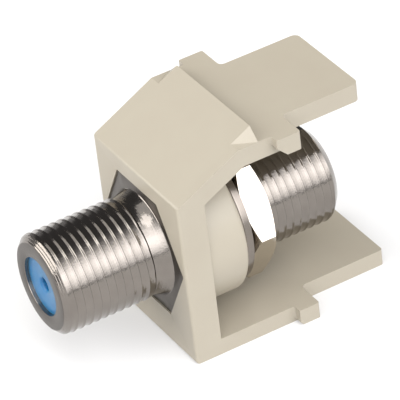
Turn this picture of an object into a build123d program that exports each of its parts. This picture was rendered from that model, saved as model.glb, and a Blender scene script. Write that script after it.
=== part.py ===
from build123d import *
from math import cos, pi, radians, tan
import os

# Snap-in F connector module: a threaded coaxial barrel clamped in a moulded wall-plate housing.
# Millimetres. The origin is on the barrel's axis, in the plane of the housing's front face.
# +X is to the right seen from the front, +Y runs to the rear along the barrel, +Z is up.

# Housing: front frame
FACE_WIDTH = 14.6
FACE_TOP = 7.45
PLATE_BOTTOM = 9.15
FRAME_DEPTH = 2.65
FACE_EDGE_R = 0.35

# Housing: ramp, latch arm and catch
RAMP_ANGLE = 27.2
ARM_TOP = 10.75
STRIP_THICKNESS = 1.8
CATCH_RISE = 1.05
CATCH_INSET = 1.2
ARM_END = 20.1
ARM_WIDTH = 10.2
ARM_CORNER_R = 0.6
TAB_START = 9.75
TAB_LENGTH = 2.4
TAB_REACH = 0.9
TAB_NOSE = 0.95

# Housing: bottom plate
PLATE_THICKNESS = 1.6
PLATE_END = 20.95
TONGUE_WIDTH = 10.2
TONGUE_CORNER_R = 0.3
FOOT_TAB_START = 10.2
FOOT_TAB_LENGTH = 2.05
FOOT_TAB_REACH = 0.9
FOOT_TAB_NOSE = 0.3

# Housing: fillets of the side tabs, seen from above
SHOULDER_R = 0.5
TAB_ROOT_R = 0.3
TAB_TIP_R = 0.2

# Housing: boss behind the frame, recess for the flange and bore for the barrel
BOSS_R = 6.95
BOSS_END = 6.65
BOSS_EDGE_R = 0.5
RECESS_GAP = 0.08
BORE_GAP = 0.06

# Connector body
THREAD_R = 4.72
FRONT_REACH = 10.4
FRONT_CHAMFER = 0.62
NECK_R = 4.5
NECK_LENGTH = 1.52
FLANGE_SETBACK = 0.12
FLANGE_FLATS = 11.64
FLANGE_THICKNESS = 2.33
REAR_END = 17.7
REAR_CHAMFER_LENGTH = 0.85
REAR_CHAMFER_DEPTH = 0.95
BODY_BORE_R = 2.75
MOUTH_CHAMFER = 0.06

# Thread, 3/8-32: narrow V grooves between broad crests, drawn as rings one pitch apart
THREAD_PITCH = 0.794
GROOVE_DEPTH = 0.18
GROOVE_WIDTH = 0.28
THREAD_LEAD = 0.38
REAR_THREAD_START = 6.7

# Insulators
INSULATOR_LENGTH = 5.5
INSULATOR_SETBACK = 0.4
FUNNEL_R = 0.8
WIRE_HOLE_R = 0.6

# Centre contact
CONTACT_R = 1.1
CONTACT_WALL = 0.35
CONTACT_SETBACK = 1.3
CONTACT_PINCH = 0.25
FINGER_LENGTH = 4.0
FINGER_SLOT = 0.25

# Lock washer
WASHER_R = 6.35
WASHER_THICKNESS = 0.8
WASHER_EDGE_R = 0.3
WASHER_GAP = 0.12
TOOTH_COUNT = 10
TOOTH_DEPTH = 0.7
TOOTH_SLOT = 1.4

# Nut
NUT_FLATS = 11.5
NUT_THICKNESS = 2.7
NUT_GAP = 0.05
NUT_BEVEL_ANGLE = 30.0
NUT_FACE_INSET = 0.22

# Places that follow from the sizes above
FLANGE_BACK = FLANGE_SETBACK + FLANGE_THICKNESS
BEND_Y = (ARM_TOP - FACE_TOP) / tan(radians(RAMP_ANGLE))
RIDGE_Y = BEND_Y + CATCH_RISE / tan(radians(RAMP_ANGLE))
WASHER_START = BOSS_END
NUT_START = WASHER_START + WASHER_THICKNESS
FRONT_MOUTH = -FRONT_REACH + INSULATOR_SETBACK
REAR_MOUTH = REAR_END - INSULATOR_SETBACK


def prism_along_y(sketch, start, end):
    """Sketch in the front view, extruded from start to end along the barrel."""
    placed = Pos(0, start, 0) * (Plane.XZ * sketch)
    return extrude(placed, start - end)


def cylinder(radius, start, end):
    """Cylinder about the barrel's axis."""
    return prism_along_y(Circle(radius), start, end)


def hexagon(flats, start, end):
    """Hexagonal prism about the barrel's axis, with corners to the left and the right."""
    return prism_along_y(RegularPolygon(flats / 2 / cos(pi / 6), 6), start, end)


def turned(points):
    """Solid turned about the barrel's axis from its half section, as (radius, y) points."""
    return revolve(make_face(Polyline(*points, close=True)), Axis.Y)


def side_prism(points, width):
    """Side view, as (y, z) points, extruded to a width centred on the part."""
    view = make_face(Polyline(*points, close=True))
    return extrude(Pos(-width / 2, 0, 0) * (Plane.YZ * view), width)


def corners_at(outline, x, y):
    """Corners of a plan view at distance x from the centre line, at depth y."""
    return [v for v in outline.vertices() if abs(abs(v.X) - x) < 1e-4 and abs(v.Y - y) < 1e-4]


def tabbed_plan(tail_width, tail_end, tail_corner_r, tab_start, tab_length, tab_reach):
    """Plan view of a leaf of the housing: full width, a tab at each side, then a narrower tail."""
    half = FACE_WIDTH / 2
    tab = half + tab_reach
    tail = tail_width / 2
    tab_end = tab_start + tab_length
    right = [
        (half, 0),
        (half, tab_start),
        (tab, tab_start),
        (tab, tab_end),
        (tail, tab_end),
        (tail, tail_end),
    ]
    left = [(-x, y) for x, y in reversed(right)]
    outline = make_face(Polyline(*right, *left, close=True))
    outline = fillet(corners_at(outline, tail, tail_end), tail_corner_r)
    outline = fillet(corners_at(outline, tail, tab_end), SHOULDER_R)
    outline = fillet(corners_at(outline, half, tab_start), TAB_ROOT_R)
    return fillet(corners_at(outline, tab, tab_end), TAB_TIP_R)


def nose_cuts(tab_start, tab_reach, underside, nose):
    """Slanted cuts across the lower front corners of a pair of side tabs."""
    beyond = 1
    reach = tab_reach + beyond
    corner = [
        (tab_start - beyond, underside - beyond),
        (tab_start - beyond, underside + nose + beyond),
        (tab_start + nose + beyond, underside - beyond),
    ]
    cut = side_prism(corner, reach)
    centre = (FACE_WIDTH + reach) / 2
    return [Pos(side * centre, 0, 0) * cut for side in (-1, 1)]


def latch_strip():
    """Ramp and latch arm: one bent strip of even thickness with a tab at each side."""
    lean = radians(RAMP_ANGLE)
    under = ARM_TOP - STRIP_THICKNESS
    side_view = [
        (0, FACE_TOP),
        (BEND_Y, ARM_TOP),
        (ARM_END, ARM_TOP),
        (ARM_END, under),
        (BEND_Y + STRIP_THICKNESS * tan(lean / 2), under),
        (0, FACE_TOP - STRIP_THICKNESS / cos(lean)),
    ]
    plan = tabbed_plan(ARM_WIDTH, ARM_END, ARM_CORNER_R, TAB_START, TAB_LENGTH, TAB_REACH)
    strip = extrude(plan, ARM_TOP + 1) & side_prism(side_view, FACE_WIDTH + 4 * TAB_REACH)
    return strip - nose_cuts(TAB_START, TAB_REACH, under, TAB_NOSE)


def catch():
    """Wedge that carries the ramp on past the bend to an upright back, with slanted sides."""
    half = FACE_WIDTH / 2
    crest = ARM_TOP + CATCH_RISE
    wedge = side_prism([(BEND_Y, ARM_TOP), (RIDGE_Y, crest), (RIDGE_Y, ARM_TOP)], FACE_WIDTH)
    for side in (-1, 1):
        tip = Vector(side * (half - CATCH_INSET), BEND_Y, ARM_TOP)
        ridge_end = Vector(side * (half - CATCH_INSET), RIDGE_Y, crest)
        foot = Vector(side * half, RIDGE_Y, ARM_TOP)
        outward = (foot - tip).cross(ridge_end - tip) * side
        facet = Plane(origin=tip, z_dir=outward)
        wedge = split(wedge, bisect_by=facet, keep=Keep.BOTTOM)
    return wedge


def bottom_plate():
    """Flat plate that the module rests on, with a tab at each side and a rear tongue."""
    plan = tabbed_plan(
        TONGUE_WIDTH,
        PLATE_END,
        TONGUE_CORNER_R,
        FOOT_TAB_START,
        FOOT_TAB_LENGTH,
        FOOT_TAB_REACH,
    )
    plate = Pos(0, 0, -PLATE_BOTTOM) * extrude(plan, PLATE_THICKNESS)
    return plate - nose_cuts(FOOT_TAB_START, FOOT_TAB_REACH, -PLATE_BOTTOM, FOOT_TAB_NOSE)


def boss():
    """Round boss behind the frame, its rear edge rounded."""
    blank = cylinder(BOSS_R, FRAME_DEPTH / 2, BOSS_END)
    rear_edge = blank.edges().filter_by(GeomType.CIRCLE).sort_by(Axis.Y)[-1]
    return fillet(rear_edge, BOSS_EDGE_R)


def housing():
    """The moulding: frame, boss, latch strip with its catch, and bottom plate in one piece."""
    height = FACE_TOP + PLATE_BOTTOM
    face = Pos(0, FACE_TOP - height / 2) * Rectangle(FACE_WIDTH, height)
    shell = prism_along_y(face, 0, FRAME_DEPTH) + boss() + latch_strip() + catch() + bottom_plate()
    face_edges = [
        edge
        for edge in shell.edges().filter_by(GeomType.LINE)
        if abs(edge.center().Y) < 1e-4 and edge.length > FACE_WIDTH * 0.9
    ]
    shell = fillet(face_edges, FACE_EDGE_R)
    shell -= hexagon(FLANGE_FLATS + 2 * RECESS_GAP, -1, FLANGE_BACK)
    return shell - cylinder(THREAD_R + BORE_GAP, 0, BOSS_END + 1)


def thread_outline(tip, root):
    """Half section of the V grooves of one thread, the first a lead from its tip, in order along Y."""
    inward = 1 if root > tip else -1
    room = abs(root - tip) - THREAD_LEAD - GROOVE_WIDTH
    steps = range(int(room / THREAD_PITCH) + 1)
    middles = [tip + inward * (THREAD_LEAD + step * THREAD_PITCH) for step in steps]
    points = []
    for middle in sorted(middles):
        points += [
            (THREAD_R, middle - GROOVE_WIDTH / 2),
            (THREAD_R - GROOVE_DEPTH, middle),
            (THREAD_R, middle + GROOVE_WIDTH / 2),
        ]
    return points


def connector_body():
    """Barrel in one piece: front thread, neck, hexagonal flange, rear thread and through bore."""
    neck_start = FLANGE_SETBACK - NECK_LENGTH
    front_tip = -FRONT_REACH + FRONT_CHAMFER
    front_root = neck_start - (THREAD_R - NECK_R)
    rear_tip = REAR_END - REAR_CHAMFER_LENGTH
    flange_middle = FLANGE_SETBACK + FLANGE_THICKNESS / 2
    shaft = turned(
        [
            (0, -FRONT_REACH),
            (THREAD_R - FRONT_CHAMFER, -FRONT_REACH),
            (THREAD_R, front_tip),
            *thread_outline(front_tip, front_root),
            (THREAD_R, front_root),
            (NECK_R, neck_start),
            (NECK_R, flange_middle),
            (THREAD_R, flange_middle),
            *thread_outline(rear_tip, REAR_THREAD_START),
            (THREAD_R, rear_tip),
            (THREAD_R - REAR_CHAMFER_DEPTH, REAR_END),
            (0, REAR_END),
        ]
    )
    bore = turned(
        [
            (0, -FRONT_REACH),
            (BODY_BORE_R + MOUTH_CHAMFER, -FRONT_REACH),
            (BODY_BORE_R, -FRONT_REACH + MOUTH_CHAMFER),
            (BODY_BORE_R, REAR_END - MOUTH_CHAMFER),
            (BODY_BORE_R + MOUTH_CHAMFER, REAR_END),
            (0, REAR_END),
        ]
    )
    return shaft + hexagon(FLANGE_FLATS, FLANGE_SETBACK, FLANGE_BACK) - bore


def insulator(mouth, inward):
    """Moulded plug in one mouth of the bore: a funnel, a wire hole and a seat for the contact."""
    half_section = [
        (FUNNEL_R, 0),
        (BODY_BORE_R, 0),
        (BODY_BORE_R, INSULATOR_LENGTH),
        (CONTACT_R, INSULATOR_LENGTH),
        (CONTACT_R, CONTACT_SETBACK),
        (WIRE_HOLE_R, CONTACT_SETBACK),
        (WIRE_HOLE_R, FUNNEL_R - WIRE_HOLE_R),
    ]
    return turned([(radius, mouth + inward * depth) for radius, depth in half_section])


def center_contact():
    """Spring contact tube, slotted into four fingers at each end, the finger tips drawn in."""
    start = FRONT_MOUTH + CONTACT_SETBACK
    end = REAR_MOUTH - CONTACT_SETBACK
    tip = FINGER_LENGTH / 3
    inner = CONTACT_R - CONTACT_WALL
    tube = turned(
        [
            (inner - CONTACT_PINCH, start),
            (CONTACT_R - CONTACT_PINCH, start),
            (CONTACT_R, start + tip),
            (CONTACT_R, end - tip),
            (CONTACT_R - CONTACT_PINCH, end),
            (inner - CONTACT_PINCH, end),
            (inner, end - tip),
            (inner, start + tip),
        ]
    )
    for slot_start in (start - 1, end - FINGER_LENGTH):
        middle = slot_start + (FINGER_LENGTH + 1) / 2
        slot = Box(4 * CONTACT_R, FINGER_LENGTH + 1, FINGER_SLOT)
        tube -= [Pos(0, middle, 0) * Rot(0, turn, 0) * slot for turn in (45, 135)]
    return tube


def lock_washer():
    """Toothed lock washer: a ring with teeth on its inner edge, its front outer edge rolled over."""
    inner = THREAD_R + WASHER_GAP
    outline = Circle(WASHER_R) - Circle(inner)
    slot = Pos(inner + TOOTH_DEPTH / 2 - 0.25, 0) * Rectangle(TOOTH_DEPTH + 0.5, TOOTH_SLOT)
    outline -= PolarLocations(0, TOOTH_COUNT) * slot
    ring = prism_along_y(outline, WASHER_START, WASHER_START + WASHER_THICKNESS)
    rims = [
        edge
        for edge in ring.edges().filter_by(GeomType.CIRCLE)
        if abs(edge.radius - WASHER_R) < 1e-4
    ]
    front_rim = min(rims, key=lambda edge: edge.center().Y)
    return fillet(front_rim, WASHER_EDGE_R)


def hex_nut():
    """Hexagonal nut with both faces bevelled to a round face."""
    end = NUT_START + NUT_THICKNESS
    face_r = NUT_FLATS / 2 - NUT_FACE_INSET
    corner_r = NUT_FLATS / 2 / cos(pi / 6) + 1
    fall = (corner_r - face_r) * tan(radians(NUT_BEVEL_ANGLE))
    bevels = turned(
        [
            (0, NUT_START),
            (face_r, NUT_START),
            (corner_r, NUT_START + fall),
            (corner_r, end - fall),
            (face_r, end),
            (0, end),
        ]
    )
    blank = hexagon(NUT_FLATS, NUT_START, end) & bevels
    return blank - cylinder(THREAD_R + NUT_GAP, NUT_START - 1, end + 1)


nodes = {
    "housing": housing(),
    "connector_body": connector_body(),
    "front_insulator": insulator(FRONT_MOUTH, 1),
    "rear_insulator": insulator(REAR_MOUTH, -1),
    "center_contact": center_contact(),
    "lock_washer": lock_washer(),
    "hex_nut": hex_nut(),
}

os.makedirs("parts", exist_ok=True)
for name, solid in nodes.items():
    export_step(solid, f"parts/{name}.step")
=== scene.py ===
# %% [markdown]
# # Dressing a snap-in F connector
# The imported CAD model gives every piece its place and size, so it is loaded first as a fixed frame.
# Everything after this either improves the surface of one of its pieces or lights and films it.

# %% Load the frame
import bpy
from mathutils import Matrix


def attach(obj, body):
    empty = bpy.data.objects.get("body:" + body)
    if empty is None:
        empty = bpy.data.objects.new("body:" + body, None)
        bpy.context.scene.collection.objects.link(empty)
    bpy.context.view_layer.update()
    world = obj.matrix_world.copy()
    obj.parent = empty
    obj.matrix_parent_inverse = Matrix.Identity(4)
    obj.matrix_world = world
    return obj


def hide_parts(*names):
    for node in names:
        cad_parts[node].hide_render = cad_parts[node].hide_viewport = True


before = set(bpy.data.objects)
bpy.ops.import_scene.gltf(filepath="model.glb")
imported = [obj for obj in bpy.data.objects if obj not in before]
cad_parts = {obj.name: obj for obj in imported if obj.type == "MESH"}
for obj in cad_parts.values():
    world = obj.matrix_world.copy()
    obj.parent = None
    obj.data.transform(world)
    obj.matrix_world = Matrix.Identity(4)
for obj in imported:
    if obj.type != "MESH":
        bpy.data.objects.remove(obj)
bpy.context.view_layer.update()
print("nodes:", sorted(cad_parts))

# %% [markdown]
# The real thing is about 31 mm long, so its sizes are easiest to read in millimetres. Blender counts in
# metres here, and one factor turns the first into the second.

# %% Units and imports
from math import cos, pi, radians, sin, tan

import bmesh
import bpy
from mathutils import Matrix, Vector

MM = 0.001
scene = bpy.context.scene
scene.view_settings.view_transform = "Standard"
print("one millimetre is", MM, "of Blender's units")

# %% [markdown]
# ## Helpers for materials
# A colour is written the way a paint program shows it, as sRGB hex, and one function makes it linear.
# Another small function adds a shader node, sets its options and fills or links its sockets.


# %% Colour and node helpers
def srgb(code):
    """Linear red, green, blue and alpha of an sRGB colour such as D6CEBC."""
    channels = [int(code[i : i + 2], 16) / 255 for i in (0, 2, 4)]
    linear = [c / 12.92 if c <= 0.04045 else ((c + 0.055) / 1.055) ** 2.4 for c in channels]
    return (*linear, 1.0)


def add_node(tree, kind, sockets=None, **options):
    """Adds a node. Each socket is given a value, or linked where an output socket is given."""
    node = tree.nodes.new(kind)
    for name, value in options.items():
        setattr(node, name, value)
    for name, value in (sockets or {}).items():
        if isinstance(value, bpy.types.NodeSocket):
            tree.links.new(value, node.inputs[name])
        else:
            node.inputs[name].default_value = value
    return node


def new_material(name):
    """An empty node material: returns it, its node tree and its output node."""
    material = bpy.data.materials.new(name)
    material.use_nodes = True
    tree = material.node_tree
    tree.nodes.clear()
    return material, tree, tree.nodes.new("ShaderNodeOutputMaterial")


print("D6CEBC in linear light is", [round(c, 3) for c in srgb("D6CEBC")])

# %% [markdown]
# ## Moulded ABS
# The housing is ABS in light almond, moulded in a tool with a fine satin finish.
# To the eye that is an even colour, a broad soft sheen and a very fine grain, with no gloss streaks.
# Melt that cools unevenly leaves faint clouds some millimetres wide, both in colour and in sheen.

# %% Almond ABS
ABS_LIGHT = srgb("A49D8E")
ABS_DEEP = srgb("9F9788")
ABS_IOR = 1.54
ABS_ROUGHNESS = (0.34, 0.46)
CLOUD_MM = 4.0
# Tool grain is about 0.03 mm wide. It is drawn at 0.16 mm, the finest that the picture resolves.
GRAIN_MM = 0.16
GRAIN_DEPTH_MM = 0.01
GRAIN_STRENGTH = 0.25


def cells_per_metre(size_mm):
    """Noise scale at which one feature is about so many millimetres wide."""
    return 1 / (size_mm * MM)


almond_abs, tree, out = new_material("almond_abs")
place = add_node(tree, "ShaderNodeTexCoord").outputs["Object"]
clouds = add_node(
    tree,
    "ShaderNodeTexNoise",
    {"Vector": place, "Scale": cells_per_metre(CLOUD_MM), "Detail": 2.0},
)
colour = add_node(
    tree,
    "ShaderNodeMix",
    {"Factor": clouds.outputs["Fac"], "A": ABS_LIGHT, "B": ABS_DEEP},
    data_type="RGBA",
)
sheen = add_node(
    tree,
    "ShaderNodeMapRange",
    {"Value": clouds.outputs["Fac"], "To Min": ABS_ROUGHNESS[0], "To Max": ABS_ROUGHNESS[1]},
)
grain = add_node(
    tree,
    "ShaderNodeTexNoise",
    {"Vector": place, "Scale": cells_per_metre(GRAIN_MM), "Detail": 1.0},
)
bump = add_node(
    tree,
    "ShaderNodeBump",
    {
        "Height": grain.outputs["Fac"],
        "Strength": GRAIN_STRENGTH,
        "Distance": GRAIN_DEPTH_MM * MM,
    },
)
abs_shader = add_node(
    tree,
    "ShaderNodeBsdfPrincipled",
    {
        "Base Color": colour.outputs["Result"],
        "Roughness": sheen.outputs["Result"],
        "IOR": ABS_IOR,
        "Normal": bump.outputs["Normal"],
    },
)
tree.links.new(abs_shader.outputs["BSDF"], out.inputs["Surface"])
print("made", almond_abs.name)

# %% [markdown]
# ## Nickel-plated brass
# The barrel and the nut are turned from brass and plated with bright nickel.
# Nickel is a slightly warm, rather dark mirror: it shows whatever surrounds it, here a bright
# window, the pale table and the almond plastic. The barrel's colour is painted darker than the nut's,
# as painted shade for the dimmer surroundings it mirrors. The lathe leaves fine rings round the axis,
# and the plating is finely pitted. The barrel's cut-off ends, which face along its axis, are duller,
# and their colour is painted darker still as painted shade.


# %% Nickel plate
PATCH_MM = 1.5
PIT_MM = 0.20
PIT_SHARE = 0.8
BUMP_STRENGTH = 0.5
GLOSS_SPREAD = 0.25
END_BEGINS = 0.85
END_FULL = 0.97
# The ends' colour is multiplied by this as painted shade, and their roughness rises with it.
SHADED_DULL_END = 0.5
BRIGHT_END = 1.0
END_ROUGHNESS = 0.22


def turned_metal(name, light, deep, roughness, ring_mm, ring_depth_mm, end_shade_tone=BRIGHT_END):
    """Plated metal with the lathe's rings about the barrel's axis, so many millimetres apart.

    The pits are shallower than the rings by PIT_SHARE. The end tone multiplies the colour of the faces
    that look along the axis: painted shade that darkens them.
    """
    material, tree, out = new_material(name)
    place = add_node(tree, "ShaderNodeTexCoord").outputs["Object"]
    patches = add_node(
        tree,
        "ShaderNodeTexNoise",
        {"Vector": place, "Scale": cells_per_metre(PATCH_MM), "Detail": 3.0},
    )
    colour = add_node(
        tree,
        "ShaderNodeMix",
        {"Factor": patches.outputs["Fac"], "A": srgb(light), "B": srgb(deep)},
        data_type="RGBA",
    )
    gloss = add_node(
        tree,
        "ShaderNodeMapRange",
        {
            "Value": patches.outputs["Fac"],
            "To Min": roughness * (1 - GLOSS_SPREAD),
            "To Max": roughness * (1 + GLOSS_SPREAD),
        },
    )
    across = add_node(
        tree,
        "ShaderNodeVectorMath",
        {0: place, 1: (1.0, 0.0, 1.0)},
        operation="MULTIPLY",
    )
    radius = add_node(
        tree, "ShaderNodeVectorMath", {0: across.outputs["Vector"]}, operation="LENGTH"
    )
    along = add_node(tree, "ShaderNodeSeparateXYZ", {"Vector": place})
    turned_place = add_node(
        tree,
        "ShaderNodeCombineXYZ",
        {"X": radius.outputs["Value"], "Y": along.outputs["Y"]},
    )
    rings = add_node(
        tree,
        "ShaderNodeTexNoise",
        {
            "Vector": turned_place.outputs["Vector"],
            "Scale": cells_per_metre(ring_mm),
            "Detail": 2.0,
        },
    )
    pits = add_node(
        tree,
        "ShaderNodeTexNoise",
        {"Vector": place, "Scale": cells_per_metre(PIT_MM), "Detail": 1.0},
    )
    ring_bump = add_node(
        tree,
        "ShaderNodeBump",
        {
            "Height": rings.outputs["Fac"],
            "Strength": BUMP_STRENGTH,
            "Distance": ring_depth_mm * MM,
        },
    )
    bump = add_node(
        tree,
        "ShaderNodeBump",
        {
            "Height": pits.outputs["Fac"],
            "Strength": BUMP_STRENGTH,
            "Distance": ring_depth_mm * PIT_SHARE * MM,
            "Normal": ring_bump.outputs["Normal"],
        },
    )
    facing = add_node(tree, "ShaderNodeTexCoord").outputs["Normal"]
    facing_along = add_node(tree, "ShaderNodeSeparateXYZ", {"Vector": facing}).outputs["Y"]
    steepness = add_node(tree, "ShaderNodeMath", {0: facing_along}, operation="ABSOLUTE")
    # Painted shade: faces that look along the axis get a darker colour.
    painted_end_shade = add_node(
        tree,
        "ShaderNodeMapRange",
        {
            "Value": steepness.outputs["Value"],
            "From Min": END_BEGINS,
            "From Max": END_FULL,
            "To Min": BRIGHT_END,
            "To Max": end_shade_tone,
        },
    )
    toned = add_node(
        tree,
        "ShaderNodeMix",
        {"Factor": 1.0, "A": colour.outputs["Result"], "B": painted_end_shade.outputs["Result"]},
        data_type="RGBA",
        blend_type="MULTIPLY",
    )
    end_blur = add_node(
        tree,
        "ShaderNodeMapRange",
        {
            "Value": painted_end_shade.outputs["Result"],
            "From Min": SHADED_DULL_END,
            "From Max": BRIGHT_END,
            "To Min": END_ROUGHNESS,
            "To Max": 0.0,
        },
    )
    blur = add_node(
        tree,
        "ShaderNodeMath",
        {0: gloss.outputs["Result"], 1: end_blur.outputs["Result"]},
        operation="ADD",
    )
    shader = add_node(
        tree,
        "ShaderNodeBsdfPrincipled",
        {
            "Base Color": toned.outputs["Result"],
            "Metallic": 1.0,
            "Roughness": blur.outputs["Value"],
            "Normal": bump.outputs["Normal"],
        },
    )
    tree.links.new(shader.outputs["BSDF"], out.inputs["Surface"])
    print("made", name)
    return material


# The barrel's nickel is painted far darker than the nut's true nickel colour. This is painted shade for
# the dimmer surroundings that it mirrors. Its ends get more painted shade through the end tone.
barrel_nickel_painted_shade = turned_metal(
    "barrel_nickel_painted_shade",
    "8F8983",
    "7E7872",
    roughness=0.14,
    ring_mm=0.16,
    ring_depth_mm=0.022,
    end_shade_tone=SHADED_DULL_END,
)
nut_nickel = turned_metal(
    "nut_nickel", "D6CFC4", "C8C1B5", roughness=0.14, ring_mm=0.30, ring_depth_mm=0.002
)
washer_nickel = turned_metal(
    "washer_nickel", "8E8780", "7C756E", roughness=0.24, ring_mm=0.15, ring_depth_mm=0.002
)

# %% [markdown]
# ## Blue polyethylene
# The plug in the barrel's mouth is moulded polyethylene, dyed through in a clear blue.
# Its skin is satin, and light that enters it spreads a little before it comes out again.

# %% Blue polyethylene
PE_LIGHT = srgb("206E9C")
PE_DEEP = srgb("1C6492")
PE_IOR = 1.51
PE_CLOUD_MM = 1.2
PE_WAVE_MM = 0.03
PE_WAVE_STRENGTH = 0.3
PE_ROUGHNESS = 0.34
PE_SCATTER_SHARE = 0.7
PE_SCATTER_MM = 0.8
PE_SCATTER_COLOUR = (0.2, 0.7, 1.0)

blue_polyethylene, tree, out = new_material("blue_polyethylene")
place = add_node(tree, "ShaderNodeTexCoord").outputs["Object"]
clouds = add_node(
    tree,
    "ShaderNodeTexNoise",
    {"Vector": place, "Scale": cells_per_metre(PE_CLOUD_MM), "Detail": 2.0},
)
colour = add_node(
    tree,
    "ShaderNodeMix",
    {"Factor": clouds.outputs["Fac"], "A": PE_LIGHT, "B": PE_DEEP},
    data_type="RGBA",
)
bump = add_node(
    tree,
    "ShaderNodeBump",
    {
        "Height": clouds.outputs["Fac"],
        "Strength": PE_WAVE_STRENGTH,
        "Distance": PE_WAVE_MM * MM,
    },
)
pe_shader = add_node(
    tree,
    "ShaderNodeBsdfPrincipled",
    {
        "Base Color": colour.outputs["Result"],
        "Roughness": PE_ROUGHNESS,
        "IOR": PE_IOR,
        "Subsurface Weight": PE_SCATTER_SHARE,
        "Subsurface Radius": PE_SCATTER_COLOUR,
        "Subsurface Scale": PE_SCATTER_MM * MM,
        "Normal": bump.outputs["Normal"],
    },
)
tree.links.new(pe_shader.outputs["BSDF"], out.inputs["Surface"])
print("made", blue_polyethylene.name)

# %% [markdown]
# ## Phosphor bronze
# The contact deep inside is drawn phosphor bronze with a thin tin flash, so it is a pale warm metal.

# %% Bronze for the contact
contact_bronze = turned_metal(
    "contact_bronze", "D9BE84", "C4A468", roughness=0.25, ring_mm=0.20, ring_depth_mm=0.002
)

# %% [markdown]
# ## Pieces as rings of points
# Everything on the lathe can be drawn as closed rings about the barrel's axis, joined one to the next.
# A ring's radius and its place along Y may change with the angle. That gives the hexagons, and a
# bevel that meets them in the true curved edge. Each ring has the same number of points, so that
# rings of different parts weld into one closed skin.

# %% Rings about the barrel's axis
COLUMNS = 144
WELD = 0.0005 * MM
# They run this way round so that a skin that climbs along Y with them is right-handed.
ANGLES = [-2 * pi * i / COLUMNS for i in range(COLUMNS)]


def at(value, angle):
    """A ring's value at an angle: the number itself, or what its function gives there."""
    return value(angle) if callable(value) else value


def point(radius, y, angle):
    """A point so many millimetres from the barrel's axis."""
    return Vector((radius * cos(angle), y, radius * sin(angle))) * MM


def loft(mesh, rings):
    """Joins rings, each given as (y, radius), with a skin of four-sided faces."""
    rows = [
        [mesh.verts.new(point(at(radius, a), at(y, a), a)) for a in ANGLES] for y, radius in rings
    ]
    for row, following in zip(rows, rows[1:]):
        for i in range(COLUMNS):
            j = (i + 1) % COLUMNS
            mesh.faces.new((row[i], row[j], following[j], following[i]))


def hexagon_radius(flats):
    """Distance from the axis to a hexagon with corners to the left and right, by angle."""
    sector = pi / 3
    return lambda angle: flats / 2 / cos((angle % sector) - sector / 2)


def finished_piece(mesh, name, material, body, slot, *nodes):
    """Welds the skin, turns its faces outward and hands it to the frame in place of CAD nodes."""
    bmesh.ops.remove_doubles(mesh, verts=mesh.verts, dist=WELD)
    bmesh.ops.recalc_face_normals(mesh, faces=mesh.faces)
    data = bpy.data.meshes.new(name)
    mesh.to_mesh(data)
    mesh.free()
    data.materials.append(material)
    piece = bpy.data.objects.new(name, data)
    scene.collection.objects.link(piece)
    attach(piece, body)
    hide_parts(*nodes)
    print(name, "has", len(data.vertices), "points and", len(data.polygons), "faces")
    return piece


def shade(piece, sharp_degrees):
    """Smooth shading, but a crease wherever faces meet at more than this angle."""
    piece.data.shade_smooth()
    piece.data.set_sharp_from_angle(angle=radians(sharp_degrees))


def soften(piece, width_mm, sharp_degrees, segments=3):
    """Rounds the crisp edges by a bevel, as polishing, plating or a mould's wear does."""
    bevel = piece.modifiers.new("edges", "BEVEL")
    bevel.width = width_mm * MM
    bevel.segments = segments
    bevel.limit_method = "ANGLE"
    bevel.angle_limit = radians(sharp_degrees)
    bevel.harden_normals = True
    bevel.miter_outer = "MITER_ARC"


# %% [markdown]
# ## The thread
# F connectors carry a 3/8-32 thread: 32 turns to the inch, so one turn moves 0.794 mm.
# In the photograph it is low ridges between broad, slightly hollow bands. Each ridge rises gently from
# the front and drops steeply at its rear, which shows as a light line followed by a thin dark one.
# A helix doesn't line up with plain rings. So the rings here are sheared: each climbs by one pitch in
# a full turn, and closes on the ring one pitch further on. Points beyond the ends are held at the end,
# where they fall together, and the weld joins them. PROFILE lists where the rings lie in one pitch.

# %% Thread profile and threaded skin
PITCH = 0.794
RIDGE_HEIGHT = 0.08
HOLLOW = 0.015
# Shares of one pitch, counted from the crest towards the rear.
REAR_SIDE_END = 0.07
FRONT_SIDE_START = 0.78
CREST_SHARPNESS = 1.2
# The crests at the side that faces the camera, 38 degrees up from +X.
FACING = radians(38)
FRONT_CREST = -9.42
REAR_CREST = 16.45
PROFILE = (0.0, 0.02, REAR_SIDE_END, 0.14, 0.24, 0.36, 0.48, 0.60, 0.72)
PROFILE += (FRONT_SIDE_START, 0.83, 0.88, 0.94, 0.98)
# Turns drawn beyond each end, which the weld folds away.
SPARE_TURNS = 2


def depth_below_crest(u):
    """How far the thread lies below its crest at a share u of the pitch behind it."""
    if u <= REAR_SIDE_END:
        return RIDGE_HEIGHT * u / REAR_SIDE_END
    if u >= FRONT_SIDE_START:
        return RIDGE_HEIGHT * ((1 - u) / (1 - FRONT_SIDE_START)) ** CREST_SHARPNESS
    across = (u - REAR_SIDE_END) / (FRONT_SIDE_START - REAR_SIDE_END)
    return RIDGE_HEIGHT + HOLLOW * 4 * across * (1 - across)


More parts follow.
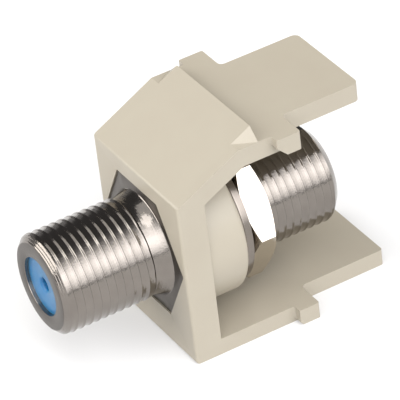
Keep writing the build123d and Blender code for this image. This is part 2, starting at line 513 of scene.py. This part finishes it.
def threaded(mesh, start, end, radius, crest):
    """Helical skin from start to end, with a crest at the given place facing the camera.

    radius(y, depth below the crest) gives its shape.
    """
    turns = int((end - start) / PITCH) + 2 * SPARE_TURNS
    datum = crest + PITCH * FACING / (2 * pi)
    first = datum + PITCH * int((start - datum) / PITCH - SPARE_TURNS)
    rows = []
    for turn in range(turns):
        for u in PROFILE:
            row = []
            for i, angle in enumerate(ANGLES):
                climbed = first + PITCH * (turn + u + i / COLUMNS)
                y = min(max(climbed, start), end)
                row.append(mesh.verts.new(point(radius(y, depth_below_crest(u)), y, angle)))
            rows.append(row)
    step = len(PROFILE)
    for k in range(len(rows) - step - 1):
        for i in range(COLUMNS - 1):
            mesh.faces.new((rows[k][i], rows[k][i + 1], rows[k + 1][i + 1], rows[k + 1][i]))
        mesh.faces.new(
            (rows[k][-1], rows[k + step][0], rows[k + step + 1][0], rows[k + 1][-1])
        )
    mesh.verts.ensure_lookup_table()
    loose = [v for v in mesh.verts if not v.link_faces]
    bmesh.ops.delete(mesh, geom=loose, context="VERTS")


print("points across one pitch:", len(PROFILE))

# %% [markdown]
# ## The barrel
# One turned piece: front thread, a short plain neck, the hexagonal flange that sits in the housing's
# recess, and the rear thread. Its rim and flange edges are slightly rounded, because those thin lines
# are where bright metal catches the light. The turning tool leaves two fine lines on the rim's cone.

# %% Barrel
THREAD_R = 4.72
ROOT_R = THREAD_R - RIDGE_HEIGHT - HOLLOW
FRONT = -10.4
REAR = 17.7
BORE_R = 2.75
FRONT_CHAMFER = 0.62
NECK_START = -1.40
NECK_R = 4.5
FLANGE_START = 0.12
FLANGE_END = 2.45
FLANGE_FLATS = 11.76
REAR_CHAMFER = 0.85
REAR_CHAMFER_DROP = 0.95
THREAD_RESUMES = 6.6
RUN_IN = 0.3
BREAK = 0.06
BORE_EDGE = 0.03
REAR_BORE_EDGE = 0.06
# A ring just inside each mouth keeps the soft shading of its rounded edge off the bore's wall.
FRONT_WALL_RING = 0.08
REAR_WALL_RING = 0.12
RIM_EDGE = 0.08
CONE_LENGTH = 0.50
LINE_DEPTH = 0.025
LINE_HALF = 0.03
LINE_PLACES = (0.17, 0.35)
NECK_STEPS = 8
NECK_TILT = 8
NECK_TILT_GAIN = 22
NECK_GAP = 0.10
# The rounding between neck and flange: place along Y from the flange, and radius beyond the neck.
NECK_ROUNDING = ((-0.05, 0.03), (-0.01, 0.07), (0.0, 0.13))

# The neck swells towards the flange, ever more steeply, and meets it in a small hollow rounding.
neck = []
neck_length = FLANGE_START - NECK_GAP - NECK_START
neck_radius = NECK_R
for step in range(NECK_STEPS + 1):
    tilt = radians(NECK_TILT + NECK_TILT_GAIN * step / NECK_STEPS)
    neck.append((NECK_START + neck_length * step / NECK_STEPS, neck_radius))
    neck_radius += neck_length / NECK_STEPS * tan(tilt)
neck_end_radius = neck[-1][1]
flange = hexagon_radius(FLANGE_FLATS)
flange_inner = hexagon_radius(FLANGE_FLATS - 2 * BREAK)


def front_thread(y, depth):
    """Front thread, cut off by the chamfer at the rim and by the run-out at the neck."""
    rim = THREAD_R - FRONT_CHAMFER + (y - FRONT)
    run_out = NECK_R + (NECK_START - y)
    return min(THREAD_R - depth, rim, run_out)


def rear_thread(y, depth):
    """Rear thread, with its long chamfer at the end and a run-in that the washer hides."""
    run_in = ROOT_R + (y - THREAD_RESUMES)
    chamfer = THREAD_R - REAR_CHAMFER_DROP * (y - REAR + REAR_CHAMFER) / REAR_CHAMFER
    return min(THREAD_R - depth, run_in, chamfer)


barrel_skin = bmesh.new()
rim_edge = THREAD_R - FRONT_CHAMFER
thread_start = FRONT + CONE_LENGTH
cone = [(FRONT + BREAK, rim_edge + BREAK)]
for line_y in LINE_PLACES:
    before = line_y - LINE_HALF
    after = line_y + LINE_HALF
    cone.append((FRONT + before, rim_edge + before))
    cone.append((FRONT + line_y, rim_edge + line_y - LINE_DEPTH))
    cone.append((FRONT + after, rim_edge + after))
thread_end = REAR - REAR_CHAMFER / 2
tail = rear_thread(thread_end, 0)
loft(
    barrel_skin,
    [
        (REAR - REAR_WALL_RING, BORE_R),
        (FRONT + FRONT_WALL_RING, BORE_R),
        (FRONT + BORE_EDGE, BORE_R),
        (FRONT + BORE_EDGE / 3, BORE_R + BORE_EDGE / 3),
        (FRONT, BORE_R + BORE_EDGE),
        (FRONT, rim_edge - RIM_EDGE),
        (FRONT + RIM_EDGE / 4, rim_edge - RIM_EDGE / 8),
        *cone,
        (thread_start, rim_edge + CONE_LENGTH),
    ],
)
threaded(barrel_skin, thread_start, NECK_START, front_thread, FRONT_CREST)
loft(
    barrel_skin,
    [
        *neck,
        *[(FLANGE_START + y, neck_end_radius + rise) for y, rise in NECK_ROUNDING],
        (FLANGE_START, flange_inner),
        (FLANGE_START + BREAK / 3, hexagon_radius(FLANGE_FLATS - BREAK / 2)),
        (FLANGE_START + BREAK, flange),
        (FLANGE_END - BREAK, flange),
        (FLANGE_END, flange_inner),
        (FLANGE_END, THREAD_R),
        (THREAD_RESUMES - RUN_IN, THREAD_R),
        (THREAD_RESUMES, ROOT_R),
    ],
)
threaded(barrel_skin, THREAD_RESUMES, thread_end, rear_thread, REAR_CREST)
loft(
    barrel_skin,
    [
        (thread_end, tail),
        (REAR - BREAK, THREAD_R - REAR_CHAMFER_DROP + BREAK),
        (REAR, THREAD_R - REAR_CHAMFER_DROP - 0.05),
        (REAR, BORE_R + REAR_BORE_EDGE),
        (REAR - REAR_BORE_EDGE / 3, BORE_R + REAR_BORE_EDGE / 3),
        (REAR - REAR_BORE_EDGE, BORE_R),
        (REAR - REAR_WALL_RING, BORE_R),
    ],
)
barrel = finished_piece(
    barrel_skin, "threaded_barrel", barrel_nickel_painted_shade, "module", "plated_barrel", "connector_body"
)
shade(barrel, sharp_degrees=32)

# %% [markdown]
# ## The nut
# A plain hexagonal nut, bevelled on both faces by a turning tool. Where that cone leaves a flat is a
# curve, lowest in the middle of the flat, so one ring follows it exactly. Its thread is the barrel's,
# a hair wider, and in step with it, so the two stay meshed while the nut unscrews.

# %% Nut
NUT_START = 7.45
NUT_END = 10.15
NUT_FLATS = 11.5
NUT_FACE_R = NUT_FLATS / 2 - 0.22
NUT_FACE_EDGE = 0.03
NUT_BEVEL = radians(30)
NUT_SINK = 0.3
NUT_PLAY = 0.05
nut_hexagon = hexagon_radius(NUT_FLATS)


def bevel_height(angle):
    """How far from the nut's face the bevel meets the hexagon at this angle."""
    return (nut_hexagon(angle) - NUT_FACE_R) * tan(NUT_BEVEL)


def nut_thread(y, depth):
    """The nut's thread with a countersink at each mouth."""
    sink = NUT_SINK - min(y - NUT_START, NUT_END - y)
    return max(THREAD_R - depth, ROOT_R + sink) + NUT_PLAY


nut_skin = bmesh.new()
mouth_r = nut_thread(NUT_START, 0)
loft(
    nut_skin,
    [
        (NUT_START, mouth_r),
        (NUT_START, NUT_FACE_R - NUT_FACE_EDGE),
        (NUT_START + 0.4 * NUT_FACE_EDGE, NUT_FACE_R + NUT_FACE_EDGE / 3),
        (lambda a: NUT_START + bevel_height(a), nut_hexagon),
        (lambda a: NUT_END - bevel_height(a), nut_hexagon),
        (NUT_END - 0.4 * NUT_FACE_EDGE, NUT_FACE_R + NUT_FACE_EDGE / 3),
        (NUT_END, NUT_FACE_R - NUT_FACE_EDGE),
        (NUT_END, mouth_r),
    ],
)
threaded(nut_skin, NUT_START, NUT_END, nut_thread, REAR_CREST)
nut = finished_piece(nut_skin, "clamping_nut", nut_nickel, "nut", "plated_nut", "hex_nut")
shade(nut, sharp_degrees=25)
soften(nut, width_mm=0.05, sharp_degrees=25, segments=2)

# %% [markdown]
# ## Pieces that keep their CAD shape
# The housing and the washer are already right in the CAD model, but their edges are razor-sharp.
# A copy of the mesh is welded, its flat faces are merged, and a bevel rounds every crisp edge.
# Rounded edges are what make moulded plastic look moulded, as each one carries a thin light line.


# %% Softened copies
FLAT_WITHIN = radians(0.5)
CREASE_DEGREES = 35


def softened_copy(node, name, material, body, slot, width_mm):
    """Stands for a CAD node with a copy of its mesh whose crisp edges are rounded."""
    mesh = bmesh.new()
    mesh.from_mesh(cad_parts[node].data)
    bmesh.ops.remove_doubles(mesh, verts=mesh.verts, dist=WELD)
    bmesh.ops.dissolve_limit(
        mesh, angle_limit=FLAT_WITHIN, verts=mesh.verts, edges=mesh.edges
    )
    piece = finished_piece(mesh, name, material, body, slot, node)
    shade(piece, CREASE_DEGREES)
    soften(piece, width_mm, CREASE_DEGREES)


softened_copy(
    "housing", "moulded_shell", almond_abs, "module", "almond_plastic", width_mm=0.16
)
softened_copy(
    "lock_washer", "toothed_washer", washer_nickel, "washer", "plated_washer", width_mm=0.08
)

# %% [markdown]
# ## The blue plugs
# Each mouth of the bore is closed by a round moulding: a shallow funnel that leads the cable's wire to
# a hole, and a seat for the contact behind it. The front one shows in the photograph.


# %% Insulators
PLUG_SETBACK = 0.40
PLUG_LENGTH = 5.5
WIRE_HOLE_R = 0.60
FUNNEL_R = 0.85
FUNNEL_DEPTH = 0.24
SEAT_R = 1.1
SEAT_DEPTH = 1.3


def insulator(name, mouth, inward, node):
    """A plug from its mouth inward, which is +1 or -1 along Y. It stands for the CAD node.

    The profile gives depth behind the plug's face and radius, from the seat out and back again.
    """
    profile = [
        (SEAT_DEPTH, SEAT_R),
        (SEAT_DEPTH, WIRE_HOLE_R),
        (FUNNEL_DEPTH, WIRE_HOLE_R),
        (0.16, 0.63),
        (0.03, 0.77),
        (0.0, FUNNEL_R),
        (0.0, BORE_R),
        (PLUG_LENGTH, BORE_R),
        (PLUG_LENGTH, SEAT_R),
        (SEAT_DEPTH, SEAT_R),
    ]
    skin = bmesh.new()
    loft(skin, [(mouth + inward * depth, radius) for depth, radius in profile])
    plug = finished_piece(skin, name, blue_polyethylene, "module", "blue_insulator", node)
    shade(plug, sharp_degrees=50)


insulator("front_plug", FRONT + PLUG_SETBACK, 1, "front_insulator")
insulator("rear_plug", REAR - PLUG_SETBACK, -1, "rear_insulator")
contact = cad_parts["center_contact"]
contact.data.materials.clear()
contact.data.materials.append(contact_bronze)

# %% [markdown]
# ## Table and studio
# The photograph has a plain white ground. Here it is a pale paper floor that the lamps bring close to
# white. A faint glow of its own, seen by the camera and in mirrors only, does the rest, so the object
# still throws a soft shadow on it, and no more light falls on the object.
# Round about is a dim room: paler walls low down, a dark line where they meet the table, and a
# darker ceiling, which gives the nickel its dark tones. At the right it has a wide, bright window,
# drawn as a glow that fades softly on every side and reaches further sideways than up and down.

# %% Floor and room
FLOOR_Z = -9.15
FLOOR_R_MM = 3000.0
PAPER_GLOW = 0.22
PAPER_WHITE = srgb("C8C8C8")
ROOM_WHITE = srgb("FDFDFF")
paper, tree, out = new_material("white_paper")
paper_shader = add_node(
    tree, "ShaderNodeBsdfDiffuse", {"Color": PAPER_WHITE, "Roughness": 0.0}
)
sight = add_node(tree, "ShaderNodeLightPath")
mirror = add_node(
    tree,
    "ShaderNodeMath",
    {0: sight.outputs["Is Glossy Ray"], 1: sight.outputs["Is Transmission Ray"]},
    operation="MAXIMUM",
)
seen = add_node(
    tree,
    "ShaderNodeMath",
    {0: sight.outputs["Is Camera Ray"], 1: mirror.outputs["Value"]},
    operation="MAXIMUM",
)
glow_strength = add_node(
    tree, "ShaderNodeMath", {0: seen.outputs["Value"], 1: PAPER_GLOW}, operation="MULTIPLY"
)
glow = add_node(
    tree,
    "ShaderNodeEmission",
    {"Color": srgb("FFFFFF"), "Strength": glow_strength.outputs["Value"]},
)
paper_sum = add_node(
    tree, "ShaderNodeAddShader", {0: paper_shader.outputs["BSDF"], 1: glow.outputs["Emission"]}
)
tree.links.new(paper_sum.outputs["Shader"], out.inputs["Surface"])

floor_mesh = bmesh.new()
bmesh.ops.create_circle(floor_mesh, cap_ends=True, segments=96, radius=FLOOR_R_MM * MM)
floor_data = bpy.data.meshes.new("paper_floor")
floor_mesh.to_mesh(floor_data)
floor_mesh.free()
floor_data.materials.append(paper)
floor = bpy.data.objects.new("paper_floor", floor_data)
floor.location.z = FLOOR_Z * MM
scene.collection.objects.link(floor)

# Heights are the sine of the elevation. Lights are radiance, where 1 shows as white.
WALL_LIGHT = 0.38
CEILING_LIGHT = 0.10
WALL_FADES = (0.20, 0.38)
SKIRTING_LIGHT = 0.05
SKIRTING_ENDS = (0.020, 0.035)
world = bpy.data.worlds.new("dim_room")
scene.world = world
world.use_nodes = True
tree = world.node_tree
tree.nodes.clear()
direction = add_node(tree, "ShaderNodeTexCoord").outputs["Generated"]
height = add_node(tree, "ShaderNodeSeparateXYZ", {"Vector": direction}).outputs["Z"]
wall = add_node(
    tree,
    "ShaderNodeMapRange",
    {
        "Value": height,
        "From Min": WALL_FADES[0],
        "From Max": WALL_FADES[1],
        "To Min": WALL_LIGHT,
        "To Max": CEILING_LIGHT,
    },
)
skirting = add_node(
    tree,
    "ShaderNodeMapRange",
    {
        "Value": height,
        "From Min": SKIRTING_ENDS[0],
        "From Max": SKIRTING_ENDS[1],
        "To Min": SKIRTING_LIGHT,
        "To Max": 1.0,
    },
)
WINDOW_AZIMUTH = radians(-4)
WINDOW_ELEVATION = radians(34)
WINDOW_FALLOFF = 8.0
WINDOW_PEAK = 4.8
WINDOW_SQUASH = 0.42
window_direction = (
    cos(WINDOW_ELEVATION) * cos(WINDOW_AZIMUTH),
    cos(WINDOW_ELEVATION) * sin(WINDOW_AZIMUTH),
    sin(WINDOW_ELEVATION),
)
squashed = add_node(
    tree,
    "ShaderNodeVectorMath",
    {0: direction, 1: (1.0, WINDOW_SQUASH, 1.0)},
    operation="MULTIPLY",
)
stretched = add_node(
    tree, "ShaderNodeVectorMath", {0: squashed.outputs["Vector"]}, operation="NORMALIZE"
)
closeness = add_node(
    tree,
    "ShaderNodeVectorMath",
    {0: stretched.outputs["Vector"], 1: window_direction},
    operation="DOT_PRODUCT",
)
facing_it = add_node(
    tree, "ShaderNodeMath", {0: closeness.outputs["Value"], 1: 0.0}, operation="MAXIMUM"
)
falloff = add_node(
    tree, "ShaderNodeMath", {0: facing_it.outputs["Value"], 1: WINDOW_FALLOFF}, operation="POWER"
)
window_light = add_node(
    tree, "ShaderNodeMath", {0: falloff.outputs["Value"], 1: WINDOW_PEAK}, operation="MULTIPLY"
)
total = add_node(
    tree,
    "ShaderNodeMath",
    {0: wall.outputs["Result"], 1: window_light.outputs["Value"]},
    operation="ADD",
)
room_strength = add_node(
    tree,
    "ShaderNodeMath",
    {0: total.outputs["Value"], 1: skirting.outputs["Result"]},
    operation="MULTIPLY",
)
room = add_node(
    tree,
    "ShaderNodeBackground",
    {"Color": ROOM_WHITE, "Strength": room_strength.outputs["Value"]},
)
add_node(tree, "ShaderNodeOutputWorld", {"Surface": room.outputs["Background"]})
print("floor at", FLOOR_Z, "mm")

# %% [markdown]
# ## Lamps
# The window's glow is the key: the metal mirrors it as the broad white band along the thread and the
# neck. Four softboxes fill in. One stands in front, to the left, and lights the ramp and the front of
# the housing. A wide one hangs overhead and draws a light line along the front side of each ridge. A
# small bright one beside it gives the neck its glare. The last shines in under the latch arm from the
# rear, on the bottom plate.


# %% Softboxes
LAMP_DISTANCE = 1.2


def softbox(name, azimuth, elevation, width, height, radiance, tint):
    """A rectangular lamp that faces the object. Angles in degrees, azimuth from +X towards +Y."""
    a = radians(azimuth)
    e = radians(elevation)
    towards = Vector((cos(e) * cos(a), cos(e) * sin(a), sin(e)))
    data = bpy.data.lights.new(name, "AREA")
    data.shape = "RECTANGLE"
    data.size = width
    data.size_y = height
    data.energy = radiance * pi * width * height
    data.color = srgb(tint)[:3]
    lamp = bpy.data.objects.new(name, data)
    lamp.location = towards * LAMP_DISTANCE
    lamp.rotation_euler = towards.to_track_quat("Z", "Y").to_euler()
    lamp.visible_camera = False
    scene.collection.objects.link(lamp)
    print(name, "at", [round(c, 2) for c in lamp.location])


softbox(
    "fill_softbox", azimuth=248, elevation=30, width=1.3, height=0.8, radiance=4.2, tint="FFFDFA"
)
softbox(
    "top_softbox", azimuth=-75, elevation=74, width=1.6, height=0.7, radiance=1.0, tint="FFFFFF"
)
softbox(
    "small_softbox", azimuth=-50, elevation=72, width=0.5, height=0.5, radiance=2.6, tint="FFFFFF"
)
softbox(
    "rear_softbox", azimuth=100, elevation=32, width=1.0, height=0.6, radiance=2.4, tint="FFF8EC"
)

# %% [markdown]
# ## Camera
# A long lens from in front, above and to the right, found by fitting the object's edges to the
# photograph. Its nearly parallel view keeps the barrel's two ends nearly the same size.

# %% Camera
SENSOR_MM = 36
LENS_MM = 324
NEAREST = 0.01
FARTHEST = 20
CAMERA_PLACE = (0.231291, -0.110690, 0.181596)
CAMERA_RIGHT = (0.51067, 0.85357, -0.10311)
CAMERA_UP = (-0.44853, 0.36680, 0.81504)
CAMERA_BACK = (0.73351, -0.36997, 0.57016)

camera_data = bpy.data.cameras.new("long_lens")
camera_data.sensor_width = SENSOR_MM
camera_data.lens = LENS_MM
camera_data.clip_start = NEAREST
camera_data.clip_end = FARTHEST
camera = bpy.data.objects.new("long_lens", camera_data)
turned = Matrix((CAMERA_RIGHT, CAMERA_UP, CAMERA_BACK)).transposed().to_4x4()
camera.matrix_world = Matrix.Translation(CAMERA_PLACE) @ turned
scene.collection.objects.link(camera)
scene.camera = camera
print("camera is", round(camera.location.length / MM), "mm away")
